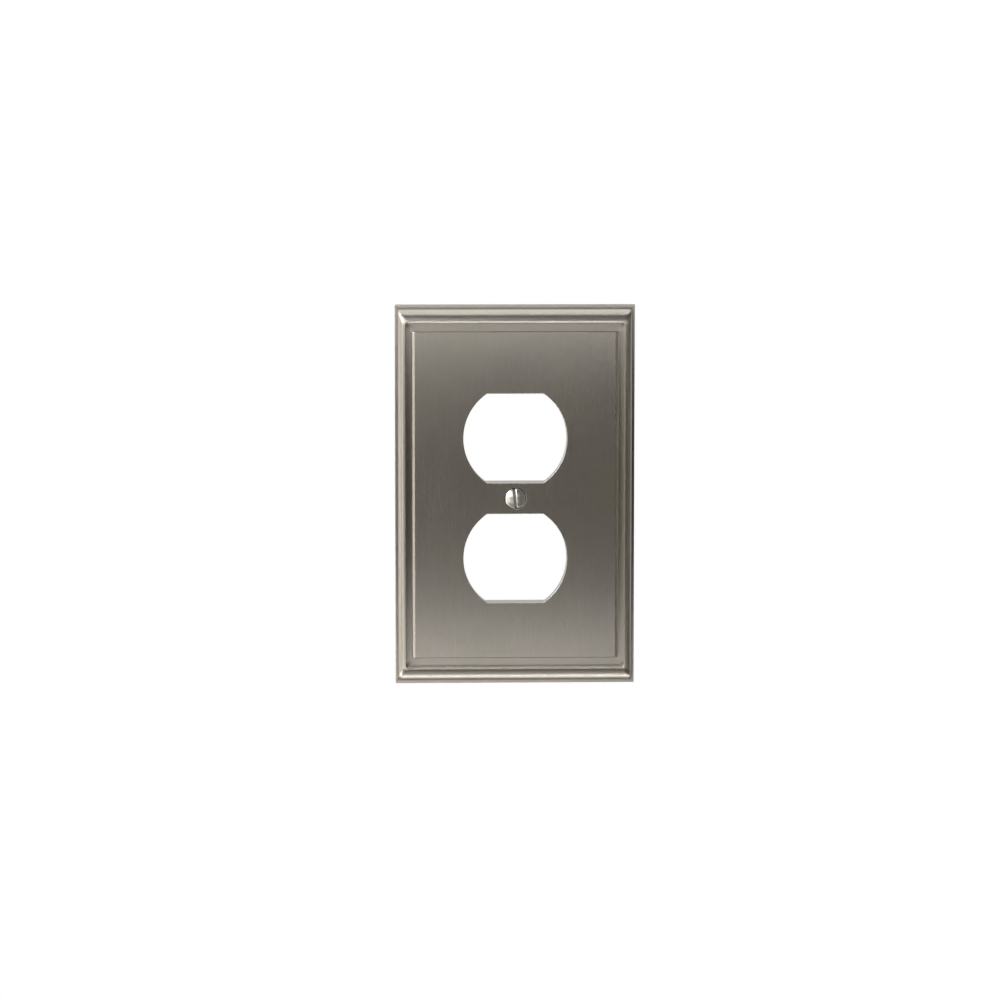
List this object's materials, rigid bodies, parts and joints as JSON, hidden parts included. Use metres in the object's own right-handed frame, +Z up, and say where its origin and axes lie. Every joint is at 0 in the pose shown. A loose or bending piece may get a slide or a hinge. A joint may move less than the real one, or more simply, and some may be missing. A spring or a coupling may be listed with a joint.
{
  "type": "duplex wall plate",
  "caption": "Satin nickel duplex wall plate with a stepped mitred border, device openings cut flat above and below, and a slotted oval head mounting screw.",
  "frame": {"origin": "on the mounting screw's axis, in the wall plane that the plate's back rim rests on", "axes": "+Z up along the plate's height, +X to the right seen from the front, +Y into the wall; the front faces -Y"},
  "size_m": [0.079, 0.0169, 0.1254],
  "materials": {
    "plate_nickel": "satin nickel, brushed along its height",
    "screw_nickel": "satin nickel, brighter than the plate"
  },
  "bodies": {
    "plate": {"wall_plate": "plate_nickel"},
    "screw": {"mounting_screw": "screw_nickel"}
  },
  "joints": [
    {"name": "screw_withdraw", "type": "slide", "parent": "plate", "child": "screw", "axis": [0, -1, 0], "range_m": [0, 0.02]}
  ]
}
